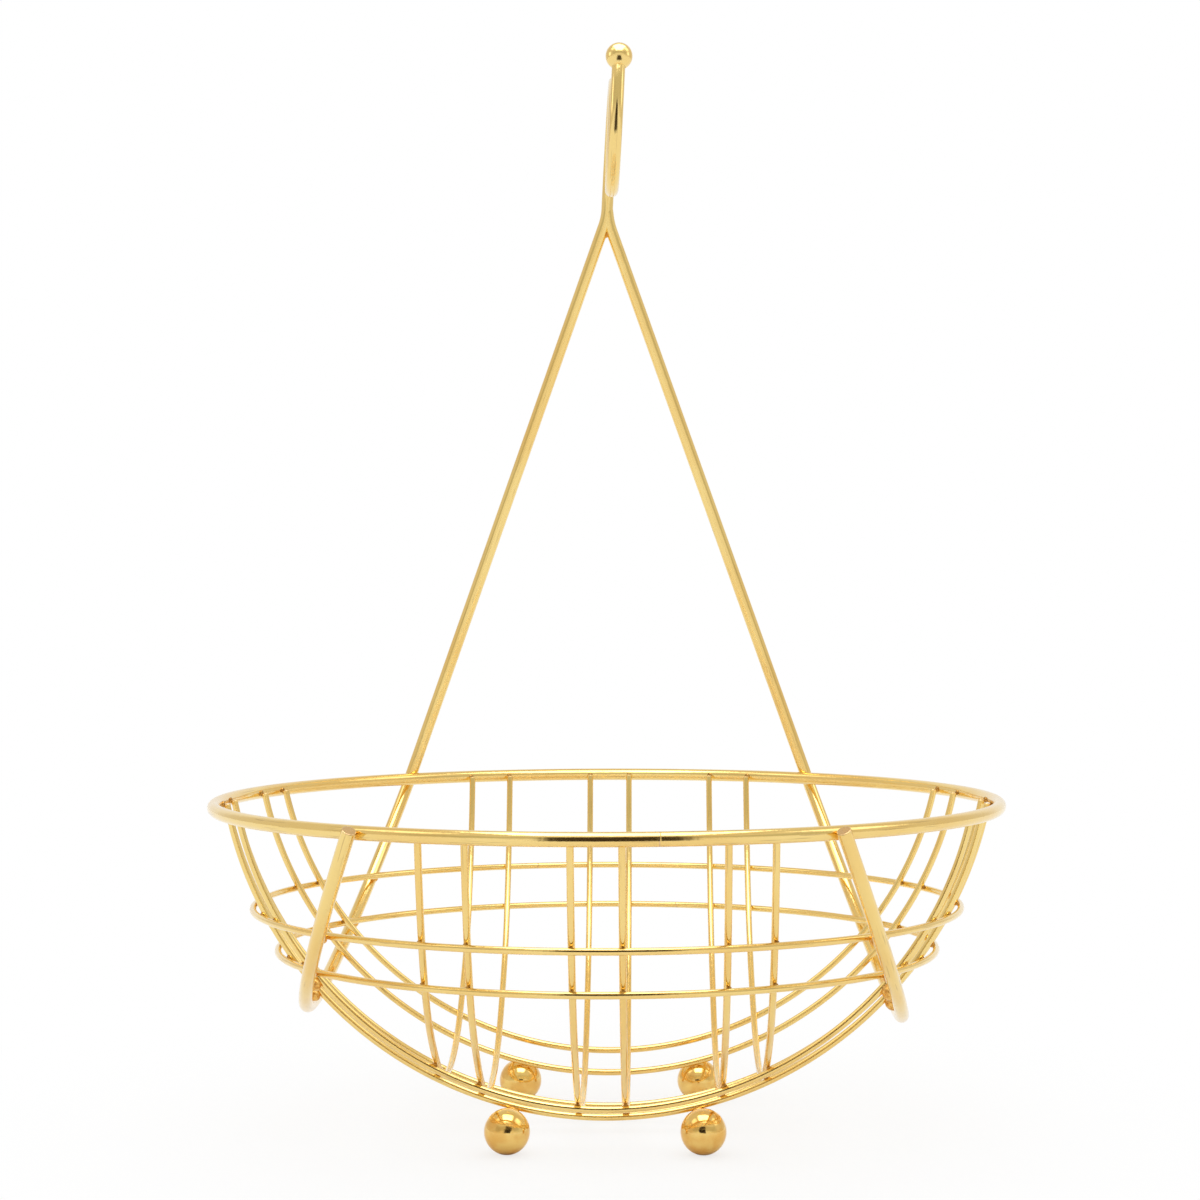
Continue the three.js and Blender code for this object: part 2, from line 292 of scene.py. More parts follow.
# %% Find every joint
THICK_NODES = HANGER_WIRES + ["rim"]
LUMPS = [{wire, f"cross_wire_{i}"} for wire in HANGER_WIRES for i in (1, 2)]
LUMP_GAP = 5 * MM
HANGER_GAP = 1.9 * MM
TOUCHING_GAP = 0.75 * MM


def wire_of(node):
    return thick_wire if node in THICK_NODES else thin_wire


def filled_gap(a, b):
    """The widest gap that brazing metal fills between two wires."""
    if {a, b} in LUMPS:
        return LUMP_GAP
    return HANGER_GAP if {a, b} & set(HANGER_WIRES) else TOUCHING_GAP


def tree_of(points):
    tree = KDTree(len(points))
    for i, point in enumerate(points):
        tree.insert(point, i)
    tree.balance()
    return tree


trees = {node: tree_of(points) for node, points in lines.items()}


def touching_runs(a, b, touching):
    """For each stretch of line a that comes near line b, the place where the wires just touch."""
    run = []
    for i, point in enumerate(lines[a]):
        spot, _, distance = trees[b].find(point)
        if distance < touching + filled_gap(a, b):
            run.append((abs(distance - touching), i, spot, distance))
        elif run:
            yield min(run)[1:]
            run = []
    if run:
        yield min(run)[1:]


def joints_between(a, b):
    found = []
    touching = (wire_of(a) + wire_of(b)) / 2
    for i, spot, distance in touching_runs(a, b, touching):
        here = Vector(lines[a][i])
        across = (spot - here).normalized()
        touch = here + across * (wire_of(a) / 2 + (distance - touching) / 2)
        ahead = Vector(lines[a][min(i + 2, len(lines[a]) - 1)] - lines[a][max(i - 2, 0)])
        joint = {"wires": (a, b), "at": touch, "across": across, "along": ahead.normalized()}
        found.append({**joint, "gap": max(0.0, distance - touching)})
    return found


names = sorted(lines)
joints = [j for i, a in enumerate(names) for b in names[i + 1 :] for j in joints_between(a, b)]
print("joints between wires:", len(joints))

# %% [markdown]
# ## The torch's stain needs points to measure from
# Geometry Nodes can measure how far each spot of a wire is from the nearest joint, if the joints are
# the points of a mesh. This helper mesh is taken away at the end.

# %% A mesh of joint points
joint_mesh = bpy.data.meshes.new("joint_points")
FEET = ["foot_front_left", "foot_front_right", "foot_rear_left", "foot_rear_right"]


def put(name, data):
    """A new object in the scene."""
    made = bpy.data.objects.new(name, data)
    bpy.context.scene.collection.objects.link(made)
    return made


def ball_middle(node):
    low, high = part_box(node)
    radius = (high.x - low.x) / 2
    return Vector(((low.x + high.x) / 2, (low.y + high.y) / 2, high.z - radius)), radius


def foot_joint(node):
    """The spot where a foot ball meets the thin wire above it."""
    middle, radius = ball_middle(node)
    wires = {n: trees[n].find(middle) for n in CROSS_WIRES + LONG_WIRES}
    name = min(wires, key=lambda n: wires[n][2])
    spot, index, distance = wires[name]
    across = (spot - middle).normalized()
    ahead = Vector(lines[name][index + 2] - lines[name][index - 2]).normalized()
    at = middle + across * (radius + 0.1 * MM)
    return {"wires": (node, name), "at": at, "across": across, "along": ahead, "gap": 0.2 * MM}


foot_joints = [foot_joint(node) for node in FEET]
joint_mesh.from_pydata([j["at"] for j in joints + foot_joints], [], [])
joint_points = put("joint_points", joint_mesh)
print("feet hang from", [j["wires"][1] for j in foot_joints])

# %% [markdown]
# ## Small helpers for node trees
# Both geometry and materials are trees of nodes. A few helpers keep the building of them short.

# %% Add a node, join two sockets
def add(tree, kind, **settings):
    node = tree.nodes.new(kind)
    for key, value in settings.items():
        setattr(node, key, value)
    return node


def join(tree, source, target):
    tree.links.new(source, target)


def feed(tree, value, socket):
    """Gives a socket a value, or joins another socket to it."""
    if isinstance(value, (int, float, tuple)):
        socket.default_value = value
    else:
        join(tree, value, socket)


def named_socket(tree, name, kind, way="INPUT", value=None):
    """A named socket of the whole tree."""
    socket = tree.interface.new_socket(name=name, in_out=way, socket_type=kind)
    if value is not None:
        socket.default_value = value
    return socket


def sum_up(tree, operation, a, b):
    """One step of arithmetic. Each side is a number or a socket."""
    node = add(tree, "ShaderNodeMath", operation=operation)
    feed(tree, a, node.inputs[0])
    feed(tree, b, node.inputs[1])
    return node.outputs[0]


print("helpers ready")

# %% [markdown]
# ## Drawn wire
# Wire is pulled through a round die, so all of it is one rule: a circle swept along a line. That is
# work for Geometry Nodes. The tree also writes what the finish needs onto the skin: its place along
# and round the wire for the fine drawing marks, and how near the torch came.

# %% The tree that draws a wire
drawing = bpy.data.node_groups.new("drawn_wire", "GeometryNodeTree")
named_socket(drawing, "Line", "NodeSocketGeometry")
named_socket(drawing, "Thickness", "NodeSocketFloat", value=thin_wire)
named_socket(drawing, "Step", "NodeSocketFloat", value=1.0 * MM)
named_socket(drawing, "Sides", "NodeSocketInt", value=24)
named_socket(drawing, "Joints", "NodeSocketObject")
named_socket(drawing, "Torch Reach", "NodeSocketFloat", value=6 * MM)
named_socket(drawing, "Finish", "NodeSocketMaterial")
named_socket(drawing, "Wire", "NodeSocketGeometry", "OUTPUT")
drawing_in = add(drawing, "NodeGroupInput")
drawing_out = add(drawing, "NodeGroupOutput")

steps = add(drawing, "GeometryNodeResampleCurve", mode="LENGTH")
join(drawing, drawing_in.outputs["Line"], steps.inputs["Curve"])
join(drawing, drawing_in.outputs["Step"], steps.inputs["Length"])

# %% [markdown]
# The distance along the wire is stored on the line, and the turn round it on the circle, before the
# two are swept together. The distance to the nearer end is stored too. On a ring both ends meet at
# the weld, so there it says how far the weld is.

# %% Store the place along and round the wire
def store(tree, geometry, name, value, kind="FLOAT"):
    node = add(tree, "GeometryNodeStoreNamedAttribute", data_type=kind, domain="POINT")
    node.inputs["Name"].default_value = name
    join(tree, geometry, node.inputs["Geometry"])
    join(tree, value, node.inputs["Value"])
    return node.outputs["Geometry"]


along = add(drawing, "GeometryNodeSplineParameter").outputs["Length"]
whole_length = add(drawing, "GeometryNodeSplineLength").outputs["Length"]
from_end = sum_up(drawing, "MINIMUM", along, sum_up(drawing, "SUBTRACT", whole_length, along))
line_ready = store(drawing, steps.outputs["Curve"], "along", along)
line_ready = store(drawing, line_ready, "from_end", from_end)

die = add(drawing, "GeometryNodeCurvePrimitiveCircle", mode="RADIUS")
join(drawing, drawing_in.outputs["Sides"], die.inputs["Resolution"])
join(drawing, sum_up(drawing, "MULTIPLY", drawing_in.outputs["Thickness"], 0.5), die.inputs["Radius"])
corner = add(drawing, "GeometryNodeInputIndex").outputs["Index"]
share = sum_up(drawing, "DIVIDE", corner, drawing_in.outputs["Sides"])
turn = sum_up(drawing, "MULTIPLY", share, 2 * pi)
side = store(drawing, die.outputs["Curve"], "side", sum_up(drawing, "COSINE", turn, 0.0))
die_ready = store(drawing, side, "front", sum_up(drawing, "SINE", turn, 0.0))

sweep = add(drawing, "GeometryNodeCurveToMesh")
sweep.inputs["Fill Caps"].default_value = True
join(drawing, add(drawing, "GeometryNodeInputRadius").outputs["Radius"], sweep.inputs["Scale"])
join(drawing, line_ready, sweep.inputs["Curve"])
join(drawing, die_ready, sweep.inputs["Profile Curve"])

# %% [markdown]
# The three stored numbers become one place on the wire. The turn is kept as a point on a circle,
# because an angle would jump from full to nothing and leave a seam.

# %% Write the wire place and the torch's heat
def read(tree, name, kind="FLOAT"):
    node = add(tree, "GeometryNodeInputNamedAttribute", data_type=kind)
    node.inputs["Name"].default_value = name
    return node.outputs["Attribute"]


half = sum_up(drawing, "MULTIPLY", drawing_in.outputs["Thickness"], 0.5)
place = add(drawing, "ShaderNodeCombineXYZ")
join(drawing, sum_up(drawing, "MULTIPLY", read(drawing, "side"), half), place.inputs["X"])
join(drawing, sum_up(drawing, "MULTIPLY", read(drawing, "front"), half), place.inputs["Y"])
join(drawing, read(drawing, "along"), place.inputs["Z"])
placed = store(drawing, sweep.outputs["Mesh"], "wire_place", place.outputs["Vector"], "FLOAT_VECTOR")

spots = add(drawing, "GeometryNodeObjectInfo", transform_space="RELATIVE")
join(drawing, drawing_in.outputs["Joints"], spots.inputs["Object"])
near = add(drawing, "GeometryNodeProximity", target_element="POINTS")
join(drawing, spots.outputs["Geometry"], near.inputs["Geometry"])
warmth = add(drawing, "ShaderNodeMapRange", interpolation_type="SMOOTHSTEP")
join(drawing, near.outputs["Distance"], warmth.inputs["Value"])
join(drawing, drawing_in.outputs["Torch Reach"], warmth.inputs["From Max"])
warmth.inputs["To Min"].default_value = 1.0
warmth.inputs["To Max"].default_value = 0.0
heated = store(drawing, placed, "heat", warmth.outputs["Result"])

# %% Smooth, plate and hand over
polish = add(drawing, "GeometryNodeSetShadeSmooth")
join(drawing, heated, polish.inputs["Geometry"])
whole = add(drawing, "GeometryNodeRealizeInstances")
join(drawing, polish.outputs["Geometry"], whole.inputs["Geometry"])
plate = add(drawing, "GeometryNodeSetMaterial")
join(drawing, whole.outputs["Geometry"], plate.inputs["Geometry"])
join(drawing, drawing_in.outputs["Finish"], plate.inputs["Material"])
join(drawing, plate.outputs["Geometry"], drawing_out.inputs["Wire"])
print("wire tree:", len(drawing.nodes), "nodes")

# %% [markdown]
# ## The gold plate
# The finish is thin gold-coloured plate over wire, polished and then lacquered. It is a mirror, so
# nearly all of its look is what it reflects. What is left tells metal from plastic: the plate is a
# little yellower or redder from place to place, fine marks run along the wire, and the torch has
# browned it near each joint. Each of these effects is a node group with named sockets.

# %% A group for the plate's uneven tint
def shader_group(name, inputs, outputs):
    group = bpy.data.node_groups.new(name, "ShaderNodeTree")
    for label, kind, value in inputs:
        named_socket(group, label, kind, "INPUT", value)
    for label, kind in outputs:
        named_socket(group, label, kind, "OUTPUT")
    return group, add(group, "NodeGroupInput"), add(group, "NodeGroupOutput")


def blend_colours(tree, mask, a, b):
    """Mixes colour b over colour a by a mask. Each colour is a value or a socket."""
    node = add(tree, "ShaderNodeMix", data_type="RGBA")
    join(tree, mask, node.inputs["Factor"])
    feed(tree, a, node.inputs[6])
    feed(tree, b, node.inputs[7])
    return node.outputs[2]


def object_place(tree):
    """Where a spot lies, in its piece's own coordinates."""
    return add(tree, "ShaderNodeTexCoord").outputs["Object"]


def noise(tree, vector, scale, detail=2.0, roughness=0.5):
    node = add(tree, "ShaderNodeTexNoise", noise_dimensions="3D")
    join(tree, vector, node.inputs["Vector"])
    feed(tree, scale, node.inputs["Scale"])
    node.inputs["Detail"].default_value = detail
    node.inputs["Roughness"].default_value = roughness
    return node.outputs["Fac"]


def stretch_range(tree, value, low, high, new_low=0.0, new_high=1.0):
    """Maps low..high to new_low..new_high, with soft ends."""
    node = add(tree, "ShaderNodeMapRange", interpolation_type="SMOOTHSTEP")
    join(tree, value, node.inputs["Value"])
    for name, number in zip(("From Min", "From Max", "To Min", "To Max"), (low, high, new_low, new_high)):
        node.inputs[name].default_value = number
    return node.outputs["Result"]


COLOUR = "NodeSocketColor"
NUMBER = "NodeSocketFloat"
tint_group, tint_in, tint_out = shader_group(
    "plate_tint",
    [
        ("Yellow Plate", COLOUR, (0.92, 0.69, 0.26, 1.0)),
        ("Red Plate", COLOUR, (0.89, 0.62, 0.21, 1.0)),
        ("Cloud Scale", NUMBER, 22.0),
    ],
    [("Plate", COLOUR), ("Clouds", NUMBER)],
)
clouds = noise(tint_group, object_place(tint_group), tint_in.outputs["Cloud Scale"], 3.0)
cloud_mask = stretch_range(tint_group, clouds, 0.35, 0.65)
yellow, red = tint_in.outputs["Yellow Plate"], tint_in.outputs["Red Plate"]
join(tint_group, blend_colours(tint_group, cloud_mask, yellow, red), tint_out.inputs["Plate"])
join(tint_group, cloud_mask, tint_out.inputs["Clouds"])
print("tint group:", [s.name for s in tint_group.interface.items_tree])

# %% [markdown]
# The drawing marks are long along the wire and very narrow round it. Noise does that when its space
# is squashed along the wire: the same change of noise then lasts thirty times as long that way.
# Scratches are the highest peaks of such noise, in patches where the wire was rubbed.

# %% A group for the drawing marks
marks_group, marks_in, marks_out = shader_group(
    "drawing_marks",
    [("Marks Per Metre", NUMBER, 2600.0), ("Lengthening", NUMBER, 0.03)],
    [("Lines", NUMBER), ("Scratches", NUMBER)],
)
wire_place = add(marks_group, "ShaderNodeAttribute", attribute_name="wire_place").outputs["Vector"]
squash = add(marks_group, "ShaderNodeVectorMath", operation="MULTIPLY")
join(marks_group, wire_place, squash.inputs[0])
squash_by = add(marks_group, "ShaderNodeCombineXYZ")
squash_by.inputs["X"].default_value = 1.0
squash_by.inputs["Y"].default_value = 1.0
join(marks_group, marks_in.outputs["Lengthening"], squash_by.inputs["Z"])
join(marks_group, squash_by.outputs["Vector"], squash.inputs[1])
lines_noise = noise(marks_group, squash.outputs["Vector"], marks_in.outputs["Marks Per Metre"], 3.0, 0.6)
scratch_noise = noise(marks_group, squash.outputs["Vector"], 2400.0, 1.0)
rubbed = noise(marks_group, object_place(marks_group), 34.0, 1.0)
scratched = stretch_range(marks_group, scratch_noise, 0.62, 0.68)
scratched = sum_up(marks_group, "MULTIPLY", scratched, stretch_range(marks_group, rubbed, 0.45, 0.6))
join(marks_group, lines_noise, marks_out.inputs["Lines"])
join(marks_group, scratched, marks_out.inputs["Scratches"])
print("marks group:", [s.name for s in marks_group.interface.items_tree])

# %% [markdown]
# The torch leaves rings of colour round a joint: brown flux in the corner, orange where the plate is
# thin, and then clean plate. The stored heat runs from one at the joint to nothing, so each ring is a
# stretch of it.

# %% A group for the torch's stain
stain_group, stain_in, stain_out = shader_group(
    "torch_stain",
    [
        ("Plate", COLOUR, (0.9, 0.65, 0.27, 1.0)),
        ("Orange", COLOUR, (0.80, 0.40, 0.10, 1.0)),
        ("Brown", COLOUR, (0.22, 0.10, 0.03, 1.0)),
        ("Strength", NUMBER, 0.8),
    ],
    [("Colour", COLOUR), ("Dullness", NUMBER)],
)
heat = add(stain_group, "ShaderNodeAttribute", attribute_name="heat").outputs["Fac"]
ragged = noise(stain_group, object_place(stain_group), 420.0, 3.0)
ragged = sum_up(stain_group, "MULTIPLY", sum_up(stain_group, "SUBTRACT", ragged, 0.5), 0.5)
uneven = sum_up(stain_group, "ADD", heat, ragged)
orange_ring = stretch_range(stain_group, uneven, 0.45, 0.85)
brown_ring = stretch_range(stain_group, uneven, 0.72, 0.92)
orange_mask = sum_up(stain_group, "MULTIPLY", orange_ring, stain_in.outputs["Strength"])
brown_mask = sum_up(stain_group, "MULTIPLY", brown_ring, stain_in.outputs["Strength"])
with_orange = blend_colours(stain_group, orange_mask, stain_in.outputs["Plate"], stain_in.outputs["Orange"])
stained = blend_colours(stain_group, brown_mask, with_orange, stain_in.outputs["Brown"])
join(stain_group, stained, stain_out.inputs["Colour"])
join(stain_group, orange_mask, stain_out.inputs["Dullness"])
print("stain group:", [s.name for s in stain_group.interface.items_tree])

# %% [markdown]
# ## Four plated finishes from the same groups
# The thick wire is polished by hand, the thin wire less so, and the balls come tumbled and have no
# drawing marks. The lacquer is the shader's coat, a thin white gloss that grows towards the edges.

# %% Build a plated finish
def use_group(tree, group, **values):
    node = add(tree, "ShaderNodeGroup", node_tree=group)
    for name, value in values.items():
        node.inputs[name.replace("_", " ")].default_value = value
    return node


def new_finish(name):
    finish = bpy.data.materials.new(name)
    finish.use_nodes = True
    return finish, finish.node_tree


def add_bump(tree, shader, height, distance, strength):
    """Tips the shader's normal as small heights would."""
    bump = add(tree, "ShaderNodeBump")
    bump.inputs["Distance"].default_value = distance
    bump.inputs["Strength"].default_value = strength
    join(tree, height, bump.inputs["Height"])
    join(tree, bump.outputs["Normal"], shader.inputs["Normal"])


CUT_METAL = (0.66, 0.42, 0.28, 1.0)
SCRATCH = (0.42, 0.27, 0.11, 1.0)


def plated_finish(name, roughness, marks, stain, pits, **tints):
    """A plated finish. On a wire, the cut ends and the weld show bare, pinkish metal."""
    finish, tree = new_finish(name)
    gold = tree.nodes["Principled BSDF"]
    gold.inputs["Metallic"].default_value = 1.0
    gold.inputs["Coat Weight"].default_value = 0.25
    gold.inputs["Coat Roughness"].default_value = 0.05
    tint = use_group(tree, tint_group, **tints)
    stained_plate = use_group(tree, stain_group, Strength=stain)
    join(tree, tint.outputs["Plate"], stained_plate.inputs["Plate"])
    colour = stained_plate.outputs["Colour"]
    height = sum_up(tree, "MULTIPLY", noise(tree, object_place(tree), 260.0, 2.0), pits)
    if marks:
        from_end = add(tree, "ShaderNodeAttribute", attribute_name="from_end").outputs["Fac"]
        bare = stretch_range(tree, from_end, 0.25 * MM, 0.12 * MM, 0.0, 0.55)
        ridge = stretch_range(tree, from_end, 0.55 * MM, 0.1 * MM, 0.0, 0.09 * MM)
        drawn = use_group(tree, marks_group)
        rubbed = sum_up(tree, "MULTIPLY", drawn.outputs["Scratches"], 0.45)
        colour = blend_colours(tree, rubbed, colour, SCRATCH)
        colour = blend_colours(tree, bare, colour, CUT_METAL)
        height = sum_up(tree, "ADD", height, sum_up(tree, "MULTIPLY", drawn.outputs["Lines"], marks))
        height = sum_up(tree, "SUBTRACT", height, sum_up(tree, "MULTIPLY", drawn.outputs["Scratches"], marks))
        height = sum_up(tree, "ADD", height, ridge)
    join(tree, colour, gold.inputs["Base Color"])
    worn = stretch_range(tree, tint.outputs["Clouds"], 0.0, 1.0, roughness, roughness * 1.4)
    dull = sum_up(tree, "MULTIPLY", stained_plate.outputs["Dullness"], 0.22)
    join(tree, sum_up(tree, "ADD", worn, dull), gold.inputs["Roughness"])
    add_bump(tree, gold, height, 1.0, 1.0)
    return finish


MARK_DEPTH = 0.000006
DENT_DEPTH = 0.00008
BALL_TINT = {
    "Yellow_Plate": (0.91, 0.64, 0.21, 1.0),
    "Red_Plate": (0.84, 0.50, 0.13, 1.0),
    "Cloud_Scale": 170.0,
}
thick_finish = plated_finish("thick_wire_plate", 0.12, MARK_DEPTH, 0.8, DENT_DEPTH)
thin_finish = plated_finish("thin_wire_plate", 0.13, MARK_DEPTH, 0.8, DENT_DEPTH)
ball_finish = plated_finish("ball_plate", 0.11, 0.0, 0.7, 0.00006, **BALL_TINT)
tip_finish = plated_finish("hook_ball_plate", 0.15, 0.0, 0.7, 0.00004)
print("finishes:", thick_finish.name, thin_finish.name, ball_finish.name, tip_finish.name)

# %% [markdown]
# ## Draw every wire
# A curve with the stations goes through the tree, then a bevel takes the sharp edge off its two cut
# ends, as a file does. The result is kept as a plain mesh, and the solid it stands for is hidden.
# Each kind of wire has its finish, the sides of its round, and how far the torch's heat reaches.

# %% Draw the wires
THICK_LOOK = (thick_finish, 32, 8 * MM)
THIN_LOOK = (thin_finish, 24, 6 * MM)
DRAWING_STEP = 0.9 * MM
FILED_EDGE = 0.25 * MM


def make_line(name, found, closed, end_widths=()):
    """A Bezier line through the stations. Its last points may be narrower than the wire."""
    curve = bpy.data.curves.new(name, "CURVE")
    curve.dimensions = "3D"
    spline = curve.splines.new("BEZIER")
    spline.bezier_points.add(len(found) - 1)
    spline.use_cyclic_u = closed
    spline.resolution_u = 24
    for i, point in enumerate(spline.bezier_points):
        point.co = found[i][0]
        point.handle_left, point.handle_right = handles(found, i, closed)
    for point, width in zip(spline.bezier_points[-len(end_widths) :], end_widths):
        point.radius = width
    return put(name, curve)


def set_inputs(modifier, tree, values):
    """Sets a modifier's inputs by the identifiers of its tree's named sockets."""
    for item in tree.interface.items_tree:
        if item.name in values and item.in_out == "INPUT":
            modifier[item.identifier] = values[item.name]


def keep_mesh(maker, name):
    """The maker's finished shape as a plain mesh object, and the maker removed."""
    worked_out = bpy.context.evaluated_depsgraph_get()
    shown = maker.evaluated_get(worked_out)
    mesh = bpy.data.meshes.new_from_object(shown, preserve_all_data_layers=True, depsgraph=worked_out)
    mesh.name = name
    piece = put(name, mesh)
    bpy.data.objects.remove(maker)
    return piece


def draw_wire(node, finish, sides, reach):
    line = make_line(node + "_line", stations[node], node in RINGS, END_WIDTHS.get(node, ()))
    draw = line.modifiers.new("draw", "NODES")
    draw.node_group = drawing
    sizes = {"Thickness": wire_of(node), "Step": DRAWING_STEP, "Sides": sides, "Torch Reach": reach}
    set_inputs(draw, drawing, {**sizes, "Joints": joint_points, "Finish": finish})
    wire = keep_mesh(line, "polished_" + node)
    file_ends(wire)
    wire.data.materials.clear()
    wire.data.materials.append(finish)
    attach(wire, "root")
    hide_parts(node)
    return wire


def file_ends(wire):
    """Rounds the edge of each cut end."""
    work = bmesh.new()
    work.from_mesh(wire.data)
    work.normal_update()
    sharp = [e for e in work.edges if len(e.link_faces) == 2 and e.calc_face_angle() > radians(60)]
    if sharp:
        bmesh.ops.bevel(work, geom=sharp, offset=FILED_EDGE, segments=2, profile=0.6, affect="EDGES")
    for face in work.faces:
        face.smooth = len(face.verts) < 10
    work.to_mesh(wire.data)
    work.free()


for node in stations:
    draw_wire(node, *(THICK_LOOK if node in THICK_NODES else THIN_LOOK))
drawn_faces = sum(len(o.data.polygons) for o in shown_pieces() if o.name.startswith("polished_"))
print("drawn wires:", len(stations), "faces:", drawn_faces)

# %% [markdown]
# ## The ball feet and the hook's ball
# All five balls are turned parts: a foot has a small flat at the bottom, and the hook's ball has a
# hole in its underside for the wire. Each is a half outline spun round, with its rings close together
# where the outline bends sharply.

# %% Turn the balls
def turned_ball(name, middle, profile, finish, steps=64):
    """Spins an outline of (radius, height) pairs round the upright axis."""
    corners, faces = [], []
    for i in range(steps):
        a = 2 * pi * i / steps
        corners += [middle + Vector((r * cos(a), r * sin(a), z)) for r, z in profile]
    count = len(profile)
    for i in range(steps):
        here, there = i * count, (i + 1) % steps * count
        faces += [(here + k, there + k, there + k + 1, here + k + 1) for k in range(count - 1)]
    mesh = bpy.data.meshes.new(name)
    mesh.from_pydata(corners, [], faces)
    work = bmesh.new()
    work.from_mesh(mesh)
    bmesh.ops.remove_doubles(work, verts=work.verts, dist=0.001 * MM)
    bmesh.ops.recalc_face_normals(work, faces=work.faces)
    for face in work.faces:
        face.smooth = True
    work.to_mesh(mesh)
    work.free()
    mesh.materials.append(finish)
    return put(name, mesh)


def sphere_outline(radius, start, rings=40):
    """The outline from an angle above the equator's underside up to the top."""
    angles = np.linspace(start, pi / 2, rings)
    return [(max(0.0, radius * cos(a)), radius * sin(a)) for a in angles]


def foot_outline(node):
    middle, radius = ball_middle(node)
    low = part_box(node)[0].z - middle.z
    flat = (radius**2 - low**2) ** 0.5
    edge = [(0.0, low), (flat * 0.8, low), (flat * 0.97, low), (flat * 1.06, low + 0.03 * MM)]
    return edge + sphere_outline(radius, np.arccos(flat * 1.15 / radius) * -1)


for node in FEET:
    middle, radius = ball_middle(node)
    foot = turned_ball("polished_" + node, middle, foot_outline(node), ball_finish)
    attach(foot, "root")
    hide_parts(node)
print("foot radius", round(ball_middle("foot_front_left")[1] / MM, 3), "mm")

# %% The hook's ball, with its hole
HOLE_DEPTH = 2.6 * MM


def hook_ball_outline(radius):
    bore = thick_wire / 2 + 0.05 * MM
    mouth = -((radius**2 - bore**2) ** 0.5)
    hole = [(0.0, mouth + HOLE_DEPTH), (bore, mouth + HOLE_DEPTH)]
    lip = [(bore, mouth + 0.25 * MM), (bore + 0.12 * MM, mouth + 0.06 * MM)]
    return hole + lip + sphere_outline(radius, -np.arccos((bore + 0.3 * MM) / radius))


tip_middle, tip_radius = ball_middle("hook_ball")
tip = turned_ball("polished_hook_ball", tip_middle, hook_ball_outline(tip_radius), tip_finish)
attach(tip, "root")
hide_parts("hook_ball")
print("hook ball at", [round(x / MM, 1) for x in tip_middle])

# %% [markdown]
# ## Brazing metal
# Brazing metal is drawn into the narrow corner between two wires and sets as a small, smooth saddle
# with a dull, reddish skin. At most joints it is no bigger than a grain of rice, so a round lump,
# flattened between the wires and a little uneven, is enough. Geometry Nodes put one at each joint.

# %% The brazing metal's finish
def brazing_finish(name, clean, burnt):
    """Dull metal that changes from clean to burnt in small blotches."""
    finish, tree = new_finish(name)
    metal = tree.nodes["Principled BSDF"]
    metal.inputs["Metallic"].default_value = 1.0
    mottle = noise(tree, object_place(tree), 700.0, 4.0)
    blotches = stretch_range(tree, mottle, 0.4, 0.65)
    join(tree, blend_colours(tree, blotches, clean, burnt), metal.inputs["Base Color"])
    join(tree, stretch_range(tree, mottle, 0.3, 0.7, 0.18, 0.42), metal.inputs["Roughness"])
    add_bump(tree, metal, mottle, 0.0001, 0.3)
    return finish


hanger_braze = brazing_finish("brazing_metal", (0.88, 0.53, 0.15, 1.0), (0.64, 0.31, 0.07, 1.0))
bowl_braze = brazing_finish("brazing_metal_of_bowl", (0.60, 0.35, 0.10, 1.0), (0.32, 0.16, 0.04, 1.0))
print("finishes:", hanger_braze.name, bowl_braze.name)

# %% The tree that puts a drop at each joint
drops = bpy.data.node_groups.new("brazing_drops", "GeometryNodeTree")
named_socket(drops, "Joints", "NodeSocketGeometry")
named_socket(drops, "Evenness", "NodeSocketFloat", value=0.85)
named_socket(drops, "Lumps", "NodeSocketFloat", value=0.12 * MM)
named_socket(drops, "Fineness", "NodeSocketInt", value=2)
named_socket(drops, "Finish", "NodeSocketMaterial")
named_socket(drops, "Drops", "NodeSocketGeometry", "OUTPUT")
drops_in = add(drops, "NodeGroupInput")
drops_out = add(drops, "NodeGroupOutput")

drop = add(drops, "GeometryNodeMeshIcoSphere")
drop.inputs["Radius"].default_value = 1.0
join(drops, drops_in.outputs["Fineness"], drop.inputs["Subdivisions"])
turned = add(drops, "FunctionNodeAxesToRotation", primary_axis="Z", secondary_axis="X")
for name, socket in (("across", "Primary Axis"), ("lie", "Secondary Axis")):
    join(drops, read(drops, name, "FLOAT_VECTOR"), turned.inputs[socket])
vary = add(drops, "FunctionNodeRandomValue", data_type="FLOAT")
vary.inputs["Seed"].default_value = 7
join(drops, drops_in.outputs["Evenness"], vary.inputs[2])
vary.inputs[3].default_value = 1.1
spread = add(drops, "ShaderNodeVectorMath", operation="SCALE")
join(drops, read(drops, "spread", "FLOAT_VECTOR"), spread.inputs[0])
join(drops, vary.outputs[1], spread.inputs["Scale"])
scatter = add(drops, "GeometryNodeInstanceOnPoints")
join(drops, drops_in.outputs["Joints"], scatter.inputs["Points"])
join(drops, drop.outputs["Mesh"], scatter.inputs["Instance"])
join(drops, turned.outputs["Rotation"], scatter.inputs["Rotation"])
join(drops, spread.outputs["Vector"], scatter.inputs["Scale"])

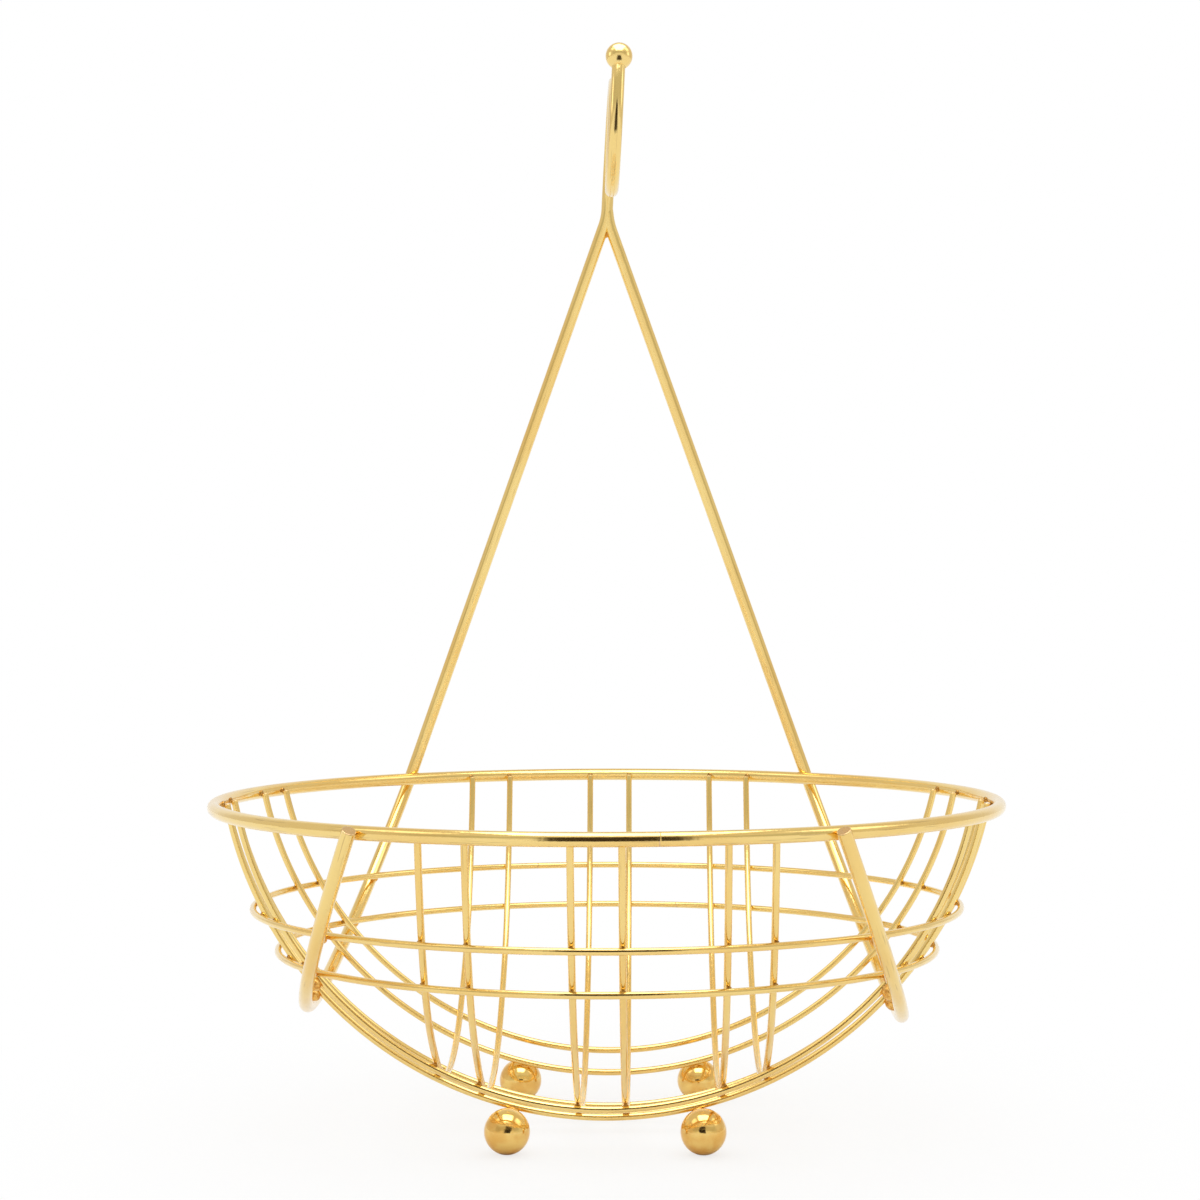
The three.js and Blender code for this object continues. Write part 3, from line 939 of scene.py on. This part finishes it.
# %% Make the drops uneven and hand them over
melted = add(drops, "GeometryNodeRealizeInstances")
join(drops, scatter.outputs["Instances"], melted.inputs["Geometry"])
ripple = add(drops, "ShaderNodeTexNoise", noise_dimensions="3D")
ripple.inputs["Scale"].default_value = 900.0
join(drops, add(drops, "GeometryNodeInputPosition").outputs["Position"], ripple.inputs["Vector"])
swell = add(drops, "ShaderNodeVectorMath", operation="SCALE")
join(drops, add(drops, "GeometryNodeInputNormal").outputs["Normal"], swell.inputs[0])
rise = sum_up(drops, "SUBTRACT", ripple.outputs["Fac"], 0.5)
join(drops, sum_up(drops, "MULTIPLY", rise, drops_in.outputs["Lumps"]), swell.inputs["Scale"])
lumpy = add(drops, "GeometryNodeSetPosition")
join(drops, melted.outputs["Geometry"], lumpy.inputs["Geometry"])
join(drops, swell.outputs["Vector"], lumpy.inputs["Offset"])
gloss = add(drops, "GeometryNodeSetShadeSmooth")
join(drops, lumpy.outputs["Geometry"], gloss.inputs["Geometry"])
skin = add(drops, "GeometryNodeSetMaterial")
join(drops, gloss.outputs["Geometry"], skin.inputs["Geometry"])
join(drops, drops_in.outputs["Finish"], skin.inputs["Material"])
join(drops, skin.outputs["Geometry"], drops_out.inputs["Drops"])
print("drop tree:", len(drops.nodes), "nodes")

# %% [markdown]
# Joints are sorted by what they hold, so that each group of drops is one piece with a plain name.
# Thick wires get bigger drops than thin ones, and a wide gap makes its drop higher.

# %% Braze every joint
def kind_of(joint):
    wires = set(joint["wires"])
    if wires & set(FEET):
        return "braze_feet"
    if wires in LUMPS:
        return "braze_cradles"
    if wires & set(HANGER_WIRES):
        return "braze_hanger"
    if "rim" in wires:
        return "braze_rim"
    if wires & {"upper_hoop", "lower_hoop"}:
        return "braze_hoops"
    return "braze_lattice"


SPREAD = {
    "braze_lattice": ((1.05, 1.05, 0.35), bowl_braze),
    "braze_hoops": ((1.05, 1.05, 0.35), bowl_braze),
    "braze_rim": ((1.15, 1.0, 0.45), bowl_braze),
    "braze_hanger": ((1.9, 1.6, 0.65), hanger_braze),
    "braze_cradles": ((3.0, 2.6, 1.0), hanger_braze),
    "braze_feet": ((2.2, 1.5, 0.6), hanger_braze),
}


def braze_joints(name, found, size, finish):
    mesh = bpy.data.meshes.new(name + "_joints")
    mesh.from_pydata([j["at"] for j in found], [], [])
    values = {
        "across": [j["across"] for j in found],
        "lie": [j["along"] for j in found],
        "spread": [Vector(size) * MM + Vector((0, 0, j["gap"] / 2)) for j in found],
    }
    for key, vectors in values.items():
        layer = mesh.attributes.new(key, "FLOAT_VECTOR", "POINT")
        layer.data.foreach_set("vector", [x for v in vectors for x in v])
    maker = put(name + "_maker", mesh)
    modifier = maker.modifiers.new("drops", "NODES")
    modifier.node_group = drops
    set_inputs(modifier, drops, {"Fineness": 2 if len(found) > 30 else 3, "Finish": finish})
    piece = keep_mesh(maker, name)
    piece.data.materials.clear()
    piece.data.materials.append(finish)
    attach(piece, "root")
    return piece


for name, (size, finish) in SPREAD.items():
    found = [j for j in joints + foot_joints if kind_of(j) == name]
    piece = braze_joints(name, found, size, finish)
    print(name, "joints", len(found), "faces", len(piece.data.polygons))
bpy.data.objects.remove(joint_points)

# %% [markdown]
# ## The studio
# Polished metal shows the room, so the room is most of the picture. The basket stands in a white
# tent: bright walls, a white floor, a large soft light close above, and a smaller one at each side.
# The walls are far enough away to be painted by direction alone. The camera itself sees plain white.
# Only reflections see the painted room, and matt surfaces get plain soft light.

# %% Directions in the room, and the mask of a soft panel
def direction(azimuth, elevation):
    """A direction in the room. Azimuth 0 is the camera's side, and grows to the right."""
    a, e = radians(azimuth), radians(elevation)
    return Vector((sin(a) * cos(e), -cos(a) * cos(e), sin(e)))


room = bpy.data.worlds.new("studio")
bpy.context.scene.world = room
room.use_nodes = True
room_tree = room.node_tree
room_tree.nodes.clear()
looking = add(room_tree, "ShaderNodeTexCoord").outputs["Generated"]


def along_axis(tree, vector, axis):
    node = add(tree, "ShaderNodeVectorMath", operation="DOT_PRODUCT")
    join(tree, vector, node.inputs[0])
    node.inputs[1].default_value = axis
    return node.outputs["Value"]


def panel_mask(tree, vector, facing, half_wide, half_high, edge):
    """One inside a flat panel seen in that direction, none outside, with soft edges."""
    side = facing.cross(UP).normalized() if abs(facing.z) < 0.99 else RIGHT
    up = side.cross(facing).normalized()
    ahead = sum_up(tree, "MAXIMUM", along_axis(tree, vector, facing), 0.02)
    masks = []
    for axis, size in ((side, half_wide), (up, half_high)):
        across = sum_up(tree, "ABSOLUTE", sum_up(tree, "DIVIDE", along_axis(tree, vector, axis), ahead), 0.0)
        masks.append(stretch_range(tree, across, size + edge / 2, size - edge / 2))
    in_front = stretch_range(tree, along_axis(tree, vector, facing), 0.0, 0.1)
    return sum_up(tree, "MULTIPLY", sum_up(tree, "MULTIPLY", masks[0], masks[1]), in_front)


print("front is", [round(x, 2) for x in direction(0, 0)])

# %% Hang the panels
WHITE_ROOM = (0.92, 0.905, 0.885, 1.0)
PANELS = [
    ("left wall", direction(-100, 5), 0.9, 0.9, 0.6, (0.76, 0.71, 0.65, 1.0)),
    ("right wall", direction(100, 5), 0.9, 0.9, 0.6, (0.77, 0.73, 0.67, 1.0)),
    ("dim ceiling", direction(0, 90), 1.1, 1.1, 0.8, (0.76, 0.70, 0.60, 1.0)),
    ("grey front", direction(3, 27), 0.95, 0.22, 0.16, (0.62, 0.60, 0.52, 1.0)),
    ("grey gap left", direction(-46, 20), 0.24, 0.24, 0.26, (0.58, 0.56, 0.48, 1.0)),
    ("grey gap right", direction(54, 19), 0.24, 0.22, 0.26, (0.60, 0.58, 0.50, 1.0)),
    ("left light", direction(-78, 49), 0.20, 0.17, 0.14, (1.7, 1.7, 1.65, 1.0)),
    ("right light", direction(89, 42), 0.22, 0.20, 0.14, (1.8, 1.8, 1.75, 1.0)),
]
room_colour = WHITE_ROOM
for _, facing, wide, high, edge, colour in PANELS:
    mask = panel_mask(room_tree, looking, facing, wide, high, edge)
    room_colour = blend_colours(room_tree, mask, room_colour, colour)

# %% White for the camera, painted for reflections, plain for matt surfaces
ray = add(room_tree, "ShaderNodeLightPath")
shiny = sum_up(room_tree, "MAXIMUM", ray.outputs["Is Glossy Ray"], ray.outputs["Is Transmission Ray"])
upward = sum_up(room_tree, "MAXIMUM", along_axis(room_tree, looking, UP), 0.0)
from_above = stretch_range(room_tree, upward, 0.0, 1.0, 0.22, 1.32)
matt_light = blend_colours(room_tree, ray.outputs["Is Diffuse Ray"], (1.0, 1.0, 1.0, 1.0), from_above)
seen = blend_colours(room_tree, shiny, matt_light, room_colour)
background = add(room_tree, "ShaderNodeBackground")
join(room_tree, seen, background.inputs["Color"])
background.inputs["Strength"].default_value = 1.0
world_out = add(room_tree, "ShaderNodeOutputWorld")
join(room_tree, background.outputs["Background"], world_out.inputs["Surface"])
print("panels:", [name for name, *_ in PANELS])

# %% [markdown]
# ## Cards near the basket
# What hangs close by can't be painted by direction: the hook and the feet see it at quite different
# heights. So the lights and the photographer's dark cards in front are real flat cards with soft
# edges, and only reflections see them. The dark cards draw the thin dark lines along the front of the
# rim, the hoops and the hook, and the dark spot in each ball. Most are meant for what is near them,
# so they have a reach: from farther away they aren't seen.

# %% A card that only reflections see
def card_finish(name, colour, strength, soft, reach):
    """Glows in one colour, and fades out towards each edge. Its back can't be seen."""
    finish, tree = new_finish(name)
    tree.nodes.clear()
    glow = add(tree, "ShaderNodeEmission")
    glow.inputs["Color"].default_value = colour
    glow.inputs["Strength"].default_value = strength
    clear = add(tree, "ShaderNodeBsdfTransparent")
    across = add(tree, "ShaderNodeSeparateXYZ")
    join(tree, add(tree, "ShaderNodeTexCoord").outputs["UV"], across.inputs["Vector"])
    shown = sum_up(tree, "SUBTRACT", 1.0, add(tree, "ShaderNodeNewGeometry").outputs["Backfacing"])
    way = add(tree, "ShaderNodeLightPath").outputs["Ray Length"]
    shown = sum_up(tree, "MULTIPLY", shown, stretch_range(tree, way, reach, 0.92 * reach))
    for axis, share in zip("XY", soft):
        from_middle = sum_up(tree, "ABSOLUTE", sum_up(tree, "SUBTRACT", across.outputs[axis], 0.5), 0.0)
        shown = sum_up(tree, "MULTIPLY", shown, stretch_range(tree, from_middle, 0.5, 0.5 - share))
    fading = add(tree, "ShaderNodeMixShader")
    join(tree, shown, fading.inputs["Fac"])
    join(tree, clear.outputs["BSDF"], fading.inputs[1])
    join(tree, glow.outputs["Emission"], fading.inputs[2])
    output = add(tree, "ShaderNodeOutputMaterial")
    join(tree, fading.outputs["Shader"], output.inputs["Surface"])
    return finish


def hang_card(name, corners, colour, strength, soft, reach):
    """A flat card. Its corners run anticlockwise as the basket sees it."""
    mesh = bpy.data.meshes.new(name)
    mesh.from_pydata(corners, [], [(0, 1, 2, 3)])
    places = mesh.uv_layers.new(name="card_place")
    for place, spot in zip(places.data, ((0, 0), (1, 0), (1, 1), (0, 1))):
        place.uv = spot
    mesh.materials.append(card_finish(name, colour, strength, soft, reach))
    card = put(name, mesh)
    card.visible_camera = card.visible_diffuse = card.visible_shadow = False
    card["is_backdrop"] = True
    return card


# %% Hang the lights and the dark cards
def turned_to_hook(middle, half_wide, half_high):
    """The corners of a card that faces the hook."""
    middle = Vector(middle)
    ahead = (tip_middle - middle).normalized()
    side = ahead.cross(UP).normalized() * half_wide
    up = side.cross(ahead).normalized() * half_high
    return [middle + side - up, middle - side - up, middle - side + up, middle + side + up]


DARK = (0.050, 0.036, 0.024, 1.0)
BLACK = (0.018, 0.013, 0.008, 1.0)
WHITE = (1.0, 1.0, 1.0, 1.0)
ANYWHERE = 10.0
CARDS = {
    "light_above": (
        [(-0.32, 0.18, 0.85), (0.37, 0.18, 0.85), (0.37, -0.60, 0.85), (-0.32, -0.60, 0.85)],
        *(WHITE, 3.7, (0.14, 0.10), ANYWHERE),
    ),
    "hook_light_left": (turned_to_hook((-0.20, -0.04, 0.43), 0.045, 0.05), WHITE, 1.7, (0.3, 0.3), 0.235),
    "hook_light_right": (turned_to_hook((0.21, -0.04, 0.43), 0.045, 0.05), WHITE, 1.7, (0.3, 0.3), 0.235),
    "dark_card_bowl": (
        [(0.074, -0.22, 0.080), (-0.050, -0.22, 0.074), (-0.050, -0.22, 0.185), (0.074, -0.22, 0.20)],
        *(DARK, 1.0, (0.14, 0.10), 0.22),
    ),
    "dark_card_feet": (
        [(-0.074, -0.22, 0.080), (0.066, -0.22, 0.080), (0.14, -0.60, 0.055), (-0.18, -0.60, 0.055)],
        *(BLACK, 1.0, (0.12, 0.02), 0.62),
    ),
    "dark_card_hook": (
        [(0.042, -0.075, 0.324), (-0.032, -0.075, 0.324), (-0.012, -0.075, 0.384), (0.022, -0.075, 0.384)],
        *(DARK, 1.0, (0.25, 0.20), 0.09),
    ),
}
for name, (corners, colour, strength, soft, reach) in CARDS.items():
    card = hang_card(name, corners, colour, strength, soft, reach)
    print(name, "faces", [round(x, 2) for x in card.data.polygons[0].normal])

# %% [markdown]
# ## The floor
# A white table that takes the basket's soft shadow. Far from the basket it turns into plain white, so
# that no edge shows against the white room.

# %% Lay the floor
FADE_STARTS, FADE_ENDS = 0.05, 0.30
floor_mesh = bpy.data.meshes.new("white_table")
floor_mesh.from_pydata([(-6, -6, 0), (6, -6, 0), (6, 6, 0), (-6, 6, 0)], [], [(0, 1, 2, 3)])
floor = put("white_table", floor_mesh)
floor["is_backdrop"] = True
floor_finish, floor_tree = new_finish("white_table_top")
table_top = floor_tree.nodes["Principled BSDF"]
table_top.inputs["Base Color"].default_value = (0.97, 0.97, 0.97, 1.0)
table_top.inputs["Roughness"].default_value = 1.0
table_top.inputs["Specular IOR Level"].default_value = 0.0
far_white = add(floor_tree, "ShaderNodeEmission")
far_white.inputs["Color"].default_value = WHITE
distance = add(floor_tree, "ShaderNodeVectorMath", operation="LENGTH")
join(floor_tree, object_place(floor_tree), distance.inputs[0])
fade = stretch_range(floor_tree, distance.outputs["Value"], FADE_STARTS, FADE_ENDS, 0.75, 1.0)
camera_sees = add(floor_tree, "ShaderNodeLightPath").outputs["Is Camera Ray"]
fading = add(floor_tree, "ShaderNodeMixShader")
join(floor_tree, sum_up(floor_tree, "MULTIPLY", fade, camera_sees), fading.inputs["Fac"])
join(floor_tree, table_top.outputs["BSDF"], fading.inputs[1])
join(floor_tree, far_white.outputs["Emission"], fading.inputs[2])
join(floor_tree, fading.outputs["Shader"], floor_tree.nodes["Material Output"].inputs["Surface"])
floor_mesh.materials.append(floor_finish)
print("floor:", floor.name)

# %% [markdown]
# ## The camera
# The photograph was taken from a little under a metre away, level with the lower part of the hanger.
# The camera's place was worked out from the rim, the hoops and the lattice, and its small turns from
# where they sit in the picture.

# %% Set up the camera
CAMERA_PLACE = (0.0154, -0.910, 0.19193)
TURN_LEFT, TILT_DOWN, ROLL = 0.0193, 0.0023, -0.0027
camera_data = bpy.data.cameras.new("photo_camera")
camera_data.lens = 75.72
camera_data.sensor_width = 36.0
camera_data.clip_start = 0.01
camera = put("photo_camera", camera_data)
aim = Matrix.Rotation(TURN_LEFT, 4, "Z") @ Matrix.Rotation(pi / 2 - TILT_DOWN, 4, "X")
camera.matrix_world = Matrix.Translation(CAMERA_PLACE) @ (aim @ Matrix.Rotation(ROLL, 4, "Z"))
bpy.context.scene.camera = camera
bpy.context.scene.view_settings.view_transform = "Standard"
print("camera at", [round(x, 4) for x in camera.location], "lens", camera_data.lens)
